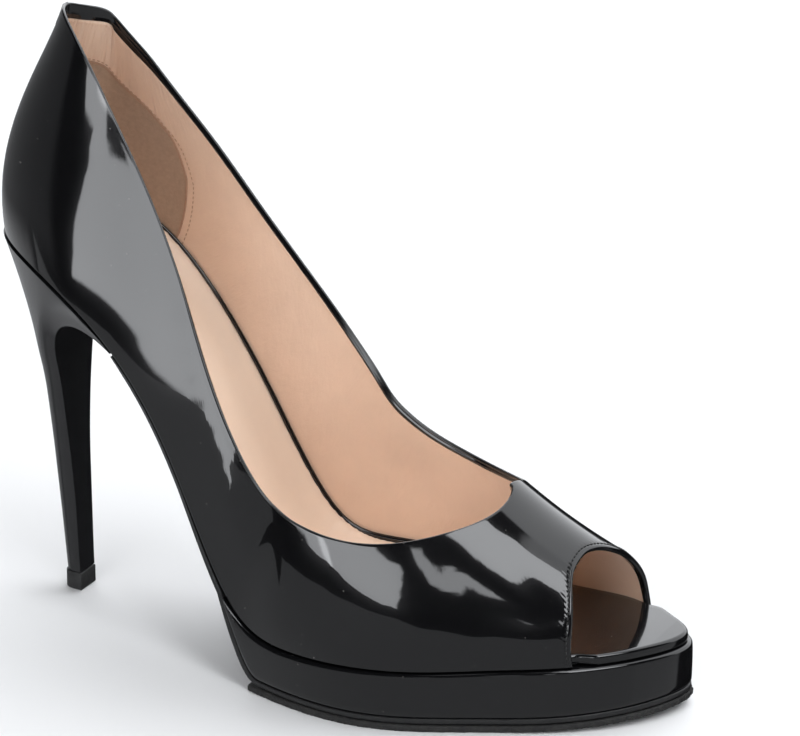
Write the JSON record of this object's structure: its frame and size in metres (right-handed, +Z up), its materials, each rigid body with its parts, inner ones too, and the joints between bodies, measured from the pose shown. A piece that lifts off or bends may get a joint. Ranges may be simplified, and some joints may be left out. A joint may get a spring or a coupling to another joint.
{
  "type": "peep toe pump",
  "caption": "Right high-heeled platform pump with a peep toe, low-cut patent upper, wrapped insole ledge and slender covered heel, worn on the foot",
  "frame": {"origin": "centre of the bounding box at its base, where the half sole and the top piece rest on the floor", "axes": "+X from the heel to the toe, +Z up, -Y to the lateral side"},
  "size_m": [0.2211, 0.0814, 0.1867],
  "materials": {
    "patent": "high gloss patent",
    "sock_leather": "smooth unglazed leather",
    "outsole_leather": "satin",
    "sole_rubber": "matte",
    "tip_plastic": "matte"
  },
  "bodies": {
    "root": {"upper": "patent", "insole": "patent", "sock": "sock_leather", "platform": "patent", "outsole": "outsole_leather", "half_sole": "sole_rubber", "heel": "patent", "top_piece": "tip_plastic"}
  },
  "joints": []
}
